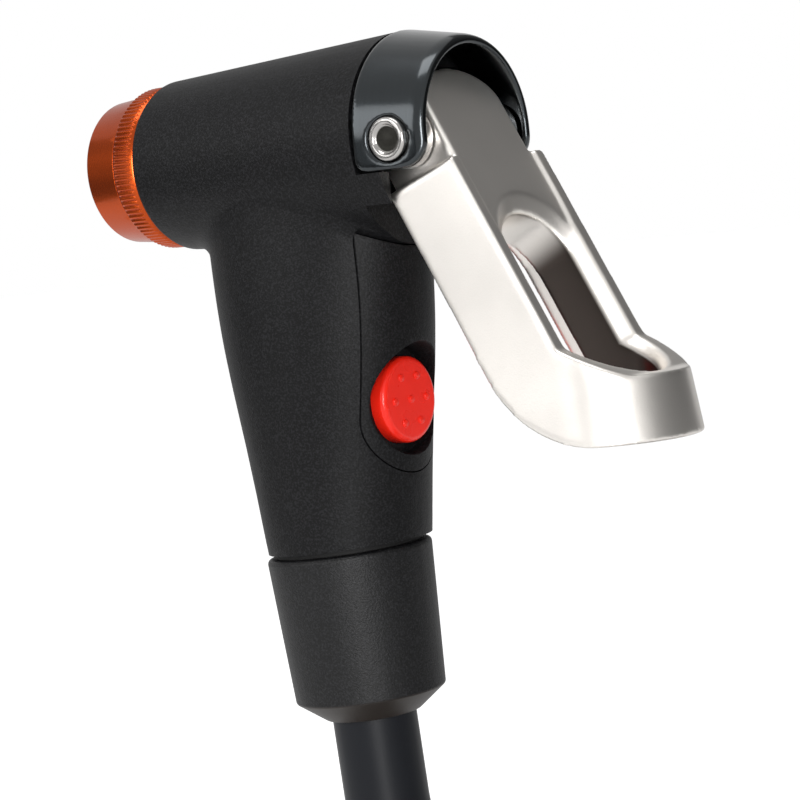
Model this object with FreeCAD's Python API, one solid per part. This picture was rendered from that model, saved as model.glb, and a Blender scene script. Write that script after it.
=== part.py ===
import FreeCAD, Part
import math
import os

# Head of a tyre inflator's hose: valve clamp, cam lever, bleed button and hose.
# Millimetres. The origin is the middle of the valve port's mouth, +Z is up,
# the valve comes in along +X, and the head is alike on both sides of Y = 0.

V = FreeCAD.Vector
X_AXIS = V(1, 0, 0)
Y_AXIS = V(0, 1, 0)
Z_AXIS = V(0, 0, 1)

# Clearances
fit_gap = 0.05
face_gap = 0.3
seam_gap = 0.15

# Valve port
port_r = 4.05
port_depth = 12.6

# Barrel
barrel_front_x = 9.0
barrel_front_r = 10.2
barrel_rear_x = 43.3
barrel_rear_r = 11.85
barrel_edge_round = 0.7
nose_r = 7.3
nose_front_x = 3.0
chamber_r = 6.0
chamber_end_x = 35.6

# Collar that screws over the nose
collar_front_r = 8.62
collar_step_x = 5.0
collar_step_r = 9.0
collar_groove_r = 8.7
knurl_front_x = 5.4
knurl_rear_x = 8.1
knurl_r = 9.75
knurl_count = 96
knurl_depth = 0.22
knurl_chamfer = 0.45
lip_thickness = 1.6
lip_chamfer = 0.4
washer_thickness = 0.8
washer_outer_r = 6.8

# Grommet
grommet_r = 5.9
grommet_groove_depth = 0.5
grommet_groove_width = 1.2

# Grip: half lengths along X and half widths along Y at heights below the barrel.
# Its top is narrower than the barrel, and its middle bulges a little from a straight taper
grip_x = 28.0
grip_top_z = -2.5
grip_top_half_length = 15.5
grip_top_inset = 0.3
grip_upper_z = -17.0
grip_upper_taper = 1.5
grip_upper_half_width = 10.6
grip_middle_z = -29.0
grip_middle_bulge = 0.15
grip_lower_z = -38.3
grip_lower_half_length = 10.87
grip_lower_half_width = 10.0
grip_end_r = 9.72
junction_round = 3.0

# Hose axis, which leans back a little as it goes down
lean = math.radians(3.4)
lean_x = 25.0
grip_end = 46.3

# Rear cover and its bleed button
cover_half_width = 6.85
cover_bottom_z = -37.9
cover_inner_x = 33.5
button_z = -29.6
button_r = 5.0
button_face_x = 39.1
button_round = 0.7
button_flange = 0.75
button_flange_thickness = 1.2
button_hole_gap = 0.06
recess_r = 6.1
recess_floor_x = 37.2
recess_mouth_r = 7.3
recess_mouth_x = 46.0
button_pocket_depth = 1.9
button_dot_r = 0.42
button_dot_height = 0.22
button_dot_count = 7
button_dot_ring = 3.0
stem_r = 1.0
poppet_r = 1.8
poppet_thickness = 1.4
seat_length = 2.4
seat_r = 2.6
seat_gap = 0.3
seal_thickness = 0.7
spring_r = 3.4
spring_wire_r = 0.3
spring_turns = 2
spring_pitch = 1.05

# Air channel down the grip
channel_x = 26.6
channel_r = 2.6
channel_end_z = -37.5

# Plunger
plunger_front_x = 14.9
plunger_shoulder_x = 34.4
plunger_rod_r = 3.6
waist_front_x = 22.4
waist_rear_x = 31.0
waist_r = 3.4
seal_groove_r = 4.6
seal_groove_width = 1.8
front_seal_x = 18.4
rear_seal_x = 32.0
air_way_r = 1.3
air_way_end_x = 27.0
cup_r = 4.3
cup_depth = 1.2
core_pin_r = 0.9
follower_cap = 0.5
follower_stub_r = 1.6
follower_stub_length = 3.0

# Pivot
pivot_x = 48.0
pivot_z = -0.3
pin_r = 1.8
pin_head_r = 2.4
pin_head_thickness = 1.1
pin_dish_r = 1.75
pin_dish_depth = 0.35
pin_screw_r = 1.0
pivot_washer_r = 3.4
pivot_washer_thickness = 1.3

# Lever, laid out along its own line from the pivot
lever_angle = math.radians(27.4)
lever_closed_deg = 27.4
lever_open_deg = 62.6
cam_low = 5.0
cam_lift = 2.4
lever_half_width = 9.0
head_half_width = 7.2
head_top_along = -6.4
head_arch_along = -1.8
head_round = 0.5
cam_half_width = 3.6
cam_top_above = 1.0
rim_above = 4.6
floor_above = 4.1
floor_end = 12.0
floor_taper = 0.4
lever_below = 4.9
wall_start_top = 5.2
wall_start_low = 4.1
knee_along = 29.4
foot_top_x = 72.6
foot_top_z = -27.7
foot_bottom_z = -34.85
foot_corner_x = 65.3
foot_flare = 0.8
foot_flare_x = 0.9
slot_start = 12.2
slot_half_width = 6.0
slot_edge_above = 3.0
scoop_length = 2.0
under_half_width = 8.2
under_depth = 2.65
under_start = 8.0
under_end = 36.0

# Hood over the pivot
hood_front_x = 43.6
hood_rear_x = 52.3
hood_front_r = 12.0
hood_bevel_x = 51.3
hood_bevel_r = 10.65
hood_rear_r = 10.2
hood_inner_half_width = 9.35
hood_neck_x = 46.0
neck_r = 10.35
ear_bottom_z = -3.6
ear_rear_round = 3.0
ear_front_round = 1.6
cheek_rear_x = 46.4
shelf_gap = 0.15

# Hose, its fittings and the nut that holds it
hose_r = 5.0
hose_bore_r = 2.5
nut_washer_thickness = 0.55
nut_washer_r = 8.7
nut_end = 64.2
nut_top_r = 9.78
nut_end_r = 8.92
nut_cone_end = 66.7
nut_cone_r = 5.6
nut_top_round = 0.5
nut_bore_r = 6.3
nut_bore_start = 49.0
nut_bore_end = 63.5
nut_hose_gap = 0.2
barb_thread_r = 4.2
barb_thread_top = 37.5
barb_hex_across = 12.0
barb_hex_end = 48.9
barb_r = 2.5
barb_end = 62.0
barb_air_r = 1.6
barb_seal_groove = 0.9
barb_seal_at = 40.0
barb_seal_width = 1.6
ferrule_r = 5.8
ferrule_start = 49.4
ferrule_end = 62.0
hose_start = 49.2

# Coil of the hose's stored length and the fitting at its end
floor_z = -150.0
coil_x = 121.6
coil_y = 60.0
coil_outer_r = 60.0
coil_turn_step = 12.5
coil_half_turns = 3
coil_layer_step = 11.6
end_ferrule_length = 16.0
end_ferrule_r = 6.0
end_ferrule_wall = 3.0
end_stem_r = 4.0
end_hex_across = 13.0
end_hex_length = 7.0
end_thread_r = 4.81
end_thread_length = 10.0
end_thread_chamfer = 0.6
end_neck_r = 4.3
end_neck_length = 2.2
end_ring_r = 6.3
end_ring_width = 1.6


def cylinder_x(x0, x1, r, z=0.0, y=0.0):
    return Part.makeCylinder(r, x1 - x0, V(x0, y, z), X_AXIS)


def box_between(low, high):
    size = high.sub(low)
    return Part.makeBox(size.x, size.y, size.z, low)


def turned_x(points):
    outline = [V(x, 0, r) for x, r in points]
    face = Part.Face(Part.makePolygon(outline + outline[:1]))
    return face.revolve(V(0, 0, 0), X_AXIS, 360)


def lean_direction():
    return V(math.sin(lean), 0, -math.cos(lean))


def lean_point(along):
    return V(lean_x, 0, 0) + lean_direction() * along


def leaning_cylinder(start, end, r):
    return Part.makeCylinder(r, end - start, lean_point(start), lean_direction())


def leaning_turned(points):
    # An outline of (distance along the hose axis, radius), turned about that axis
    across = V(math.cos(lean), 0, math.sin(lean))
    outline = [lean_point(along) + across * r for along, r in points]
    face = Part.Face(Part.makePolygon(outline + outline[:1]))
    return face.revolve(lean_point(0), lean_direction(), 360)


def round_edges(shape, radius, wanted):
    edges = [edge for edge in shape.Edges if wanted(edge)]
    return shape.makeFillet(radius, edges) if edges else shape


# Lever frame: along the lever from the pivot, and above it towards the rear
def lever_point(along, above, y=0.0):
    x = pivot_x + along * math.sin(lever_angle) + above * math.cos(lever_angle)
    z = pivot_z - along * math.cos(lever_angle) + above * math.sin(lever_angle)
    return V(x, y, z)


def lever_box(along0, along1, above0, above1, half_width):
    low = Part.makeBox(above1 - above0, 2 * half_width, along1 - along0)
    low.translate(V(above0, -half_width, -along1))
    low.rotate(V(0, 0, 0), Y_AXIS, -math.degrees(lever_angle))
    low.translate(V(pivot_x, 0, pivot_z))
    return low


def lever_bar(along0, along1, above0, above1, half_width, round_start, round_end):
    # A bar with half-round ends in plan, cut square to the lever
    first = along0 + (half_width if round_start else 0)
    last = along1 - (half_width if round_end else 0)
    bar = lever_box(first, last, above0, above1, half_width)
    for along, wanted in ((first, round_start), (last, round_end)):
        if wanted:
            start = lever_point(along, above0)
            direction = lever_point(along, above1) - start
            bar = bar.fuse(Part.makeCylinder(half_width, above1 - above0, start, direction))
    return bar


def oval_ring(x, z, half_length, half_width):
    ring = Part.Wire(Part.Circle(V(0, 0, 0), Z_AXIS, 1.0).toShape())
    spread = FreeCAD.Matrix()
    spread.scale(half_length, half_width, 1.0)
    ring = ring.transformGeometry(spread)
    ring.translate(V(x, 0, z))
    return ring


def grip_loft():
    upper_half_length = grip_top_half_length - grip_upper_taper
    share = (grip_upper_z - grip_middle_z) / (grip_upper_z - grip_lower_z)
    middle_half_length = upper_half_length + (grip_lower_half_length - upper_half_length) * share
    middle_half_width = grip_upper_half_width + (grip_lower_half_width - grip_upper_half_width) * share
    sections = (
        (grip_top_z, grip_top_half_length, barrel_front_r - grip_top_inset),
        (grip_upper_z, upper_half_length, grip_upper_half_width),
        (grip_middle_z, middle_half_length + grip_middle_bulge, middle_half_width + grip_middle_bulge),
        (grip_lower_z, grip_lower_half_length, grip_lower_half_width),
        (-grip_end, grip_end_r, grip_end_r),
        (-grip_end - 3, grip_end_r - 0.4, grip_end_r - 0.4),
    )
    return Part.makeLoft([oval_ring(grip_x, *section) for section in sections], True, False)


def grip_solid():
    below = Part.makeBox(60, 60, 20, V(-30, -30, -20))
    below.rotate(V(0, 0, 0), Y_AXIS, -math.degrees(lean))
    below.translate(lean_point(grip_end))
    return grip_loft().cut(below)


def cover_prism(half_width, bottom_z, start_x):
    # The cover's outline seen from behind: straight sides and a round bottom
    middle_z = bottom_z + half_width
    reach = 60 - start_x
    sides = Part.makeBox(reach, 2 * half_width, 1 - middle_z, V(start_x, -half_width, middle_z))
    bottom = Part.makeCylinder(half_width, reach, V(start_x, 0, middle_z), X_AXIS)
    return sides.fuse(bottom)


def lever_cavity():
    # Room for the cam, for the lever's walls and for the lever when it is folded down
    cam_room_r = cam_low + cam_lift + 0.75
    cam_room = Part.makeCylinder(
        cam_room_r, 2 * (head_half_width + 0.5),
        V(pivot_x, -head_half_width - 0.5, pivot_z), Y_AXIS,
    )
    wall_half = lever_half_width + 0.4
    wall_r = math.hypot(wall_start_low, lever_below) + 0.45
    wall_room = Part.makeCylinder(wall_r, 2 * wall_half, V(pivot_x, -wall_half, pivot_z), Y_AXIS)
    folded_x = pivot_x - lever_below - 0.45
    folded = box_between(V(folded_x, -wall_half, -40), V(60, wall_half, pivot_z))
    behind = box_between(V(pivot_x, -wall_half, pivot_z), V(60, wall_half, 20))
    return cam_room.fuse(wall_room).fuse(folded).fuse(behind)


def is_junction(edge):
    # The long edge where the grip meets the barrel
    box = edge.BoundBox
    return box.XLength > grip_top_half_length and box.ZMin > grip_upper_z and box.ZMax < grip_top_z


def barrel_with_grip():
    # The barrel is drawn too long, so that the rounding runs out past its rear end
    beyond = 2 * junction_round
    widening = (barrel_rear_r - barrel_front_r) / (barrel_rear_x - barrel_front_x)
    barrel = turned_x([
        (nose_front_x, 0), (nose_front_x, nose_r), (barrel_front_x, nose_r),
        (barrel_front_x, barrel_front_r - barrel_edge_round * 0.6),
        (barrel_front_x + barrel_edge_round, barrel_front_r),
        (barrel_rear_x + beyond, barrel_rear_r + widening * beyond), (barrel_rear_x + beyond, 0),
    ])
    joined = round_edges(barrel.fuse(grip_solid()), junction_round, is_junction)
    return joined.cut(box_between(V(barrel_rear_x, -30, -60), V(80, 30, 30)))


def head_body():
    barrel_and_grip = barrel_with_grip()
    neck = cylinder_x(barrel_rear_x, hood_neck_x - face_gap, neck_r - fit_gap)
    cheeks = cylinder_x(barrel_rear_x, cheek_rear_x, barrel_rear_r)
    shelf_z = ear_bottom_z - shelf_gap
    cheeks = cheeks.cut(box_between(V(40, -20, shelf_z), V(60, 20, 20)))
    body = barrel_and_grip.fuse(neck).fuse(cheeks)
    body = body.cut(lever_cavity())
    body = body.cut(cylinder_x(nose_front_x - 1, chamber_end_x, chamber_r))
    body = body.cut(cylinder_x(chamber_end_x - 1, pivot_x, plunger_rod_r + fit_gap))
    body = body.cut(cover_prism(cover_half_width + seam_gap, cover_bottom_z - seam_gap, cover_inner_x)
                    .cut(cylinder_x(0, 60, barrel_rear_r + seam_gap)))
    channel = Part.makeCylinder(channel_r, -channel_end_z, V(channel_x, 0, channel_end_z), Z_AXIS)
    body = body.cut(channel)
    pocket_x = cover_inner_x - button_pocket_depth
    body = body.cut(cylinder_x(pocket_x, cover_inner_x + 1, button_r + button_flange + face_gap, button_z))
    body = body.cut(cylinder_x(channel_x, pocket_x + 1, seat_r, button_z))
    body = body.cut(leaning_cylinder(barb_thread_top, grip_end + 2, barb_thread_r))
    return body.removeSplitter()


def rear_cover():
    cover = grip_solid().common(cover_prism(cover_half_width, cover_bottom_z, cover_inner_x))
    cover = cover.cut(cylinder_x(0, 60, barrel_rear_r + 2 * seam_gap))
    cover = cover.cut(lever_cavity())
    recess = turned_x([
        (recess_floor_x, 0), (recess_floor_x, recess_r),
        (recess_mouth_x, recess_mouth_r), (recess_mouth_x, 0),
    ])
    recess.translate(V(0, 0, button_z))
    cover = cover.cut(recess)
    lip_inner_x = button_flange_front_x() + button_flange_thickness + face_gap
    cover = cover.cut(cylinder_x(cover_inner_x - 1, lip_inner_x,
                                 button_r + button_flange + face_gap, button_z))
    return cover.cut(cylinder_x(cover_inner_x, 60, button_r + button_hole_gap, button_z))


def button_flange_front_x():
    return cover_inner_x + 1.0


def bleed_button():
    flange_x = button_flange_front_x()
    flange_end_x = flange_x + button_flange_thickness
    cap = cylinder_x(flange_x, button_face_x, button_r)
    cap = round_edges(cap, button_round, lambda edge: edge.BoundBox.XMin > button_face_x - 0.01)
    button = cap.fuse(cylinder_x(flange_x, flange_end_x, button_r + button_flange))
    for i in range(button_dot_count):
        turn = 2 * math.pi * i / (button_dot_count - 1)
        ring = button_dot_ring if i < button_dot_count - 1 else 0.0
        dot = cylinder_x(button_face_x - 0.3, button_face_x + button_dot_height, button_dot_r,
                         ring * math.sin(turn), ring * math.cos(turn))
        button = button.fuse(dot)
    button.translate(V(0, 0, button_z))
    return button.cut(cylinder_x(flange_x - 1, flange_x + 2, stem_r, button_z))


def poppet_rear_x():
    return seat_front_x() - seat_gap


def seat_front_x():
    return cover_inner_x - button_pocket_depth - seat_length


def bleed_stem():
    rear_x = poppet_rear_x() - seal_thickness
    poppet = cylinder_x(rear_x - poppet_thickness, rear_x, poppet_r, button_z)
    rod = cylinder_x(rear_x, button_flange_front_x() + 2, stem_r, button_z)
    return poppet.fuse(rod)


def bleed_seal():
    rear_x = poppet_rear_x()
    ring = cylinder_x(rear_x - seal_thickness, rear_x, poppet_r, button_z)
    return ring.cut(cylinder_x(rear_x - 2, rear_x + 1, stem_r, button_z))


def bleed_seat():
    front_x = seat_front_x()
    seat = cylinder_x(front_x, front_x + seat_length, seat_r - 0.02, button_z)
    return seat.cut(cylinder_x(front_x - 1, front_x + seat_length + 1, stem_r + 0.3, button_z))


def valve_collar():
    rear_x = barrel_front_x - face_gap
    outside = [
        (0, port_r + lip_chamfer), (0, collar_front_r - 0.4), (0.4, collar_front_r),
        (collar_step_x, collar_step_r), (collar_step_x, collar_groove_r),
        (knurl_front_x, collar_groove_r), (knurl_front_x, knurl_r - knurl_chamfer),
        (knurl_front_x + knurl_chamfer, knurl_r), (knurl_rear_x, knurl_r),
        (rear_x, knurl_r - knurl_chamfer),
    ]
    inside = [
        (rear_x, nose_r + fit_gap), (lip_thickness, nose_r + fit_gap),
        (lip_thickness, port_r), (lip_chamfer, port_r),
    ]
    collar = turned_x(outside + inside)
    cutters = []
    for i in range(knurl_count):
        turn = 2 * math.pi * i / knurl_count
        groove = Part.makeBox(knurl_rear_x - knurl_front_x + 1, 0.5, 0.5,
                              V(knurl_front_x - 0.5, 0, 0))
        groove.rotate(V(0, 0, 0), X_AXIS, 45)
        groove.translate(V(0, 0, knurl_r - knurl_depth))
        groove.rotate(V(0, 0, 0), X_AXIS, math.degrees(turn))
        cutters.append(groove)
    return collar.cut(Part.makeCompound(cutters))


def slip_washer():
    x0 = lip_thickness + fit_gap
    x1 = x0 + washer_thickness
    return cylinder_x(x0, x1, washer_outer_r).cut(cylinder_x(x0 - 1, x1 + 1, port_r))


def valve_grommet():
    x0 = lip_thickness + washer_thickness + face_gap
    x1 = port_depth
    grommet = cylinder_x(x0, x1, grommet_r)
    middle = (nose_front_x + x1) / 2
    groove = cylinder_x(middle, middle + grommet_groove_width, grommet_r + 1)
    groove = groove.cut(cylinder_x(middle - 1, middle + 4, grommet_r - grommet_groove_depth))
    return grommet.cut(groove).cut(cylinder_x(x0 - 1, x1 + 1, port_r))


def follower_face_x():
    share = lever_closed_deg / (lever_closed_deg + lever_open_deg)
    return pivot_x - cam_low - cam_lift * share - face_gap


def plunger():
    rod_end_x = follower_face_x() - follower_cap
    body = turned_x([
        (plunger_front_x, 0), (plunger_front_x, chamber_r - fit_gap - 0.4),
        (plunger_front_x + 0.4, chamber_r - fit_gap),
        (front_seal_x, chamber_r - fit_gap), (front_seal_x, seal_groove_r),
        (front_seal_x + seal_groove_width, seal_groove_r),
        (front_seal_x + seal_groove_width, chamber_r - fit_gap),
        (waist_front_x, chamber_r - fit_gap), (waist_front_x + 1, waist_r),
        (waist_rear_x - 1, waist_r), (waist_rear_x, chamber_r - fit_gap),
        (rear_seal_x, chamber_r - fit_gap), (rear_seal_x, seal_groove_r),
        (rear_seal_x + seal_groove_width, seal_groove_r),
        (rear_seal_x + seal_groove_width, chamber_r - fit_gap),
        (plunger_shoulder_x, chamber_r - fit_gap), (plunger_shoulder_x, plunger_rod_r),
        (rod_end_x, plunger_rod_r), (rod_end_x, 0),
    ])
    body = body.cut(cylinder_x(plunger_front_x - 1, plunger_front_x + cup_depth, cup_r))
    body = body.cut(cylinder_x(plunger_front_x, air_way_end_x, air_way_r))
    cross = Part.makeCylinder(air_way_r, 2 * chamber_r, V(air_way_end_x - air_way_r, 0, -chamber_r), Z_AXIS)
    body = body.cut(cross)
    return body.cut(cylinder_x(rod_end_x - follower_stub_length, rod_end_x + 1, follower_stub_r))


def seal_ring(x, outer_r, inner_r, width):
    # A ring with rounded outside, seated in its groove
    return turned_x([
        (x, inner_r), (x, outer_r - 0.3), (x + 0.3, outer_r), (x + width - 0.3, outer_r),
        (x + width, outer_r - 0.3), (x + width, inner_r),
    ])


def plunger_seals():
    outer_r = chamber_r - 0.02
    front = seal_ring(front_seal_x, outer_r, seal_groove_r, seal_groove_width)
    rear = seal_ring(rear_seal_x, outer_r, seal_groove_r, seal_groove_width)
    return Part.makeCompound([front, rear])


def core_pin():
    # Three-legged seat with the pin that presses the valve's core
    base_x = plunger_front_x + cup_depth
    disc = cylinder_x(base_x - 0.8, base_x, cup_r - 0.1)
    for i in range(3):
        turn = 2 * math.pi * i / 3
        hole = cylinder_x(base_x - 2, base_x + 1, 0.8, 2.5 * math.sin(turn), 2.5 * math.cos(turn))
        disc = disc.cut(hole)
    return disc.fuse(cylinder_x(plunger_front_x - 0.2, base_x - 0.4, core_pin_r))


def cam_follower():
    face_x = follower_face_x()
    cap = cylinder_x(face_x - follower_cap, face_x, plunger_rod_r)
    stub = cylinder_x(face_x - follower_cap - follower_stub_length, face_x - follower_cap, follower_stub_r)
    return cap.fuse(stub)


def cam_points():
    # The cam's reach grows steadily with the lever's turn, so its face is an involute
    rate = cam_lift / math.radians(lever_closed_deg + lever_open_deg)
    steps = 12
    points = []
    for i in range(steps + 1):
        share = i / steps
        reach = cam_low + cam_lift * share
        turn = math.radians(180 + lever_closed_deg - share * (lever_closed_deg + lever_open_deg))
        outward = V(math.cos(turn), 0, math.sin(turn))
        along = V(math.sin(turn), 0, -math.cos(turn))
        points.append(V(pivot_x, 0, pivot_z) + outward * reach + along * rate)
    return points


def flat_prism(edges, half_width):
    face = Part.Face(Part.Wire(edges))
    solid = face.extrude(Y_AXIS * (2 * half_width))
    solid.translate(V(0, -half_width, 0))
    return solid


def lever_normal():
    return lever_point(0, 1) - lever_point(0, 0)


def lever_head():
    cam = cam_points()
    curve = Part.BSplineCurve()
    curve.interpolate(cam)
    rear_along = wall_start_top + 3
    under = lever_point(rear_along, -cam_low)
    top_rear = lever_point(head_top_along, floor_above)
    top_round = lever_point(head_top_along - 0.55, floor_above - 2.2)
    rear = lever_point(rear_along, floor_above)
    edges = [
        Part.LineSegment(under, cam[0]).toShape(), curve.toShape(),
        Part.LineSegment(cam[-1], top_round).toShape(),
        Part.LineSegment(top_round, top_rear).toShape(),
        Part.LineSegment(top_rear, rear).toShape(), Part.LineSegment(rear, under).toShape(),
    ]
    head = flat_prism(edges, head_half_width)
    # Seen from behind, the head's top is a flat arch under the hood
    reach = cam_low + cam_lift + 4
    centre = lever_point(head_arch_along, -reach)
    arch_top = lever_point(head_top_along, -reach)
    oval = Part.Ellipse(centre + Y_AXIS * head_half_width, arch_top, centre)
    arch = Part.Face(Part.Wire(oval.toShape())).extrude(lever_normal() * (2 * reach))
    arch = arch.fuse(lever_box(head_arch_along, rear_along + 1, -reach, reach, head_half_width))
    # The cam itself keeps its whole height over its working width
    strip = flat_prism(edges, cam_half_width).common(
        lever_box(-20, rear_along + 1, -reach, cam_top_above, cam_half_width + 1))
    return head.common(arch).fuse(strip).removeSplitter()


def lever_top_line():
    # The rims' outline from their start to the foot's end
    start = lever_point(wall_start_top, rim_above)
    knee = lever_point(knee_along, rim_above)
    return [start, knee, V(foot_top_x, 0, foot_top_z), V(90, 0, foot_top_z)]


def lever_side_prism():
    top = lever_top_line()
    bend_r = bottom_bend_r()
    bend_start = lever_point(knee_along - 2.4, -lever_below)
    centre = bend_start + lever_normal() * bend_r
    low = V(centre.x, 0, centre.z - bend_r)
    half_turn = (math.pi / 2 - lever_angle) / 2
    turn = -math.pi / 2 - half_turn
    middle = centre + V(math.cos(turn), 0, math.sin(turn)) * bend_r
    far_low = V(90, 0, low.z)
    edges = [
        Part.LineSegment(lever_point(wall_start_low, -lever_below), bend_start).toShape(),
        Part.Arc(bend_start, middle, low).toShape(),
        Part.LineSegment(low, far_low).toShape(),
        Part.LineSegment(far_low, top[3]).toShape(),
        Part.LineSegment(top[3], top[2]).toShape(),
        Part.LineSegment(top[2], top[1]).toShape(),
        Part.LineSegment(top[1], top[0]).toShape(),
        Part.LineSegment(top[0], lever_point(wall_start_low, -lever_below)).toShape(),
    ]
    return flat_prism(edges, lever_half_width + 2)


def bottom_bend_r():
    # The bend under the knee runs from the straight underside to the foot's flat bottom
    start = lever_point(knee_along - 2.4, -lever_below)
    return (start.z - foot_bottom_z) / (1 - math.sin(lever_angle))


def foot_outline(half_width, end_x, z):
    corner_x = end_x - half_width
    arc = Part.Arc(V(corner_x, -half_width, z), V(end_x, 0, z), V(corner_x, half_width, z)).toShape()
    edges = [
        Part.LineSegment(V(30, -half_width, z), V(corner_x, -half_width, z)).toShape(), arc,
        Part.LineSegment(V(corner_x, half_width, z), V(30, half_width, z)).toShape(),
        Part.LineSegment(V(30, half_width, z), V(30, -half_width, z)).toShape(),
    ]
    return Part.Wire(edges)


def foot_end_x():
    return foot_corner_x + lever_half_width


def lever_plan():
    flare_top_z = lever_point(knee_along, rim_above).z
    straight = Part.Face(foot_outline(lever_half_width, foot_end_x(), flare_top_z))
    upper = straight.extrude(V(0, 0, 40))
    lower_z = foot_bottom_z - 1
    flared = foot_outline(lever_half_width + foot_flare, foot_end_x() + foot_flare + foot_flare_x, lower_z)
    lower = Part.makeLoft([foot_outline(lever_half_width, foot_end_x(), flare_top_z), flared],
                          True, True)
    return upper.fuse(lower)


def slot_outline(centre_along, half_width, above):
    # The slot's outline down to the knee: a round upper end and straight sides
    left = lever_point(centre_along, above, -half_width)
    right = lever_point(centre_along, above, half_width)
    top = lever_point(centre_along - half_width, above)
    low_left = lever_point(knee_along, above, -half_width)
    low_right = lever_point(knee_along, above, half_width)
    return Part.Wire([
        Part.Arc(left, top, right).toShape(), Part.LineSegment(right, low_right).toShape(),
        Part.LineSegment(low_right, low_left).toShape(), Part.LineSegment(low_left, left).toShape(),
    ])


def sloping_foot_outline(half_width, above):
    # The same outline over the foot, in a plane that falls from the knee to the foot's end
    knee = lever_point(knee_along, rim_above)
    fall = (foot_top_z - knee.z) / (foot_top_x - knee.x)
    start = lever_point(knee_along, above)
    tilt = FreeCAD.Matrix()
    tilt.A31 = fall
    tilt.A34 = start.z - fall * start.x
    return foot_outline(half_width, foot_corner_x + half_width, 0).transformGeometry(tilt)


def below_knee(solid):
    return solid.cut(lever_box(-60, knee_along, -60, 60, 30))


def trough_cut():
    # One slope all round the slot, from its edge up to the rim, with a scoop at the upper end
    slot_centre = slot_start + slot_half_width
    low = slot_outline(slot_centre, slot_half_width, slot_edge_above)
    rim = slot_outline(slot_centre - scoop_length, head_half_width, rim_above)
    upper = Part.makeLoft([low, rim], True, True).fuse(Part.Face(rim).extrude(lever_normal() * 4))
    foot_low = sloping_foot_outline(slot_half_width, slot_edge_above)
    foot_rim = sloping_foot_outline(head_half_width, rim_above)
    lower = Part.makeLoft([foot_low, foot_rim], True, True).fuse(Part.Face(foot_rim).extrude(V(0, 0, 8)))
    return upper.fuse(below_knee(lower))


def floor_cut():
    # The floor that the head runs on into, a little under the rims
    start = wall_start_low - 2
    end = slot_start + slot_half_width - 1
    narrow = head_half_width - floor_taper
    plan = (
        (start, head_half_width), (floor_end, head_half_width), (end, narrow),
        (end, -narrow), (floor_end, -head_half_width), (start, -head_half_width),
    )
    points = [lever_point(along, floor_above, y) for along, y in plan]
    return Part.Face(Part.makePolygon(points + points[:1])).extrude(lever_normal() * 6)


def slot_cut():
    # Square to the lever down to the knee, then upright through the foot
    upper = lever_bar(slot_start, knee_along, -20, 20, slot_half_width, True, False)
    plan = Part.Face(foot_outline(slot_half_width, foot_corner_x + slot_half_width, -60))
    return upper.fuse(below_knee(plan.extrude(V(0, 0, 50))))


def lever_walls():
    walls = lever_side_prism().common(lever_plan())
    walls = walls.cut(floor_cut()).cut(trough_cut()).cut(slot_cut())
    under = lever_bar(under_start, under_end, -20, -lever_below + under_depth,
                      under_half_width, True, True)
    return walls.cut(under)


def is_head_edge(edge):
    # The outline of the head's rear face
    start = lever_point(0, floor_above)
    middle = edge.valueAt((edge.FirstParameter + edge.LastParameter) / 2)
    on_face = abs((middle - start).dot(lever_normal())) < 0.01
    return on_face and middle.z > lever_point(wall_start_top, floor_above).z and edge.Length > 3


def is_wall_end(edge):
    # The flanks' upper ends
    middle = edge.valueAt((edge.FirstParameter + edge.LastParameter) / 2)
    start = lever_point(wall_start_low, -lever_below)
    end = lever_point(wall_start_top, rim_above)
    between = (start + end) * 0.5
    near = math.hypot(middle.x - between.x, middle.z - between.z) < 0.1
    return near and abs(middle.y) > lever_half_width - 0.01


def cam_lever():
    lever = lever_walls().fuse(lever_head())
    bore = Part.makeCylinder(pin_r + fit_gap, 30, V(pivot_x, -15, pivot_z), Y_AXIS)
    lever = lever.cut(bore).removeSplitter()
    lever = round_edges(lever, head_round, is_head_edge)
    return round_edges(lever, head_round, is_wall_end)


def ear_outline():
    # Side view of the hood: square at the top, with rounded lower corners
    low_z = ear_bottom_z
    rear_x = hood_rear_x
    front_x = hood_front_x
    k = math.sqrt(0.5)
    rear_c = V(rear_x - ear_rear_round, 0, low_z + ear_rear_round)
    front_c = V(front_x + ear_front_round, 0, low_z + ear_front_round)
    rear_mid = rear_c + V(k, 0, -k) * ear_rear_round
    front_mid = front_c + V(-k, 0, -k) * ear_front_round
    top_rear = V(rear_x, 0, 20)
    top_front = V(front_x, 0, 20)
    rear_up = V(rear_x, 0, rear_c.z)
    rear_low = V(rear_c.x, 0, low_z)
    front_low = V(front_c.x, 0, low_z)
    front_up = V(front_x, 0, front_c.z)
    return [
        Part.LineSegment(top_front, top_rear).toShape(),
        Part.LineSegment(top_rear, rear_up).toShape(),
        Part.Arc(rear_up, rear_mid, rear_low).toShape(),
        Part.LineSegment(rear_low, front_low).toShape(),
        Part.Arc(front_low, front_mid, front_up).toShape(),
        Part.LineSegment(front_up, top_front).toShape(),
    ]


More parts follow.
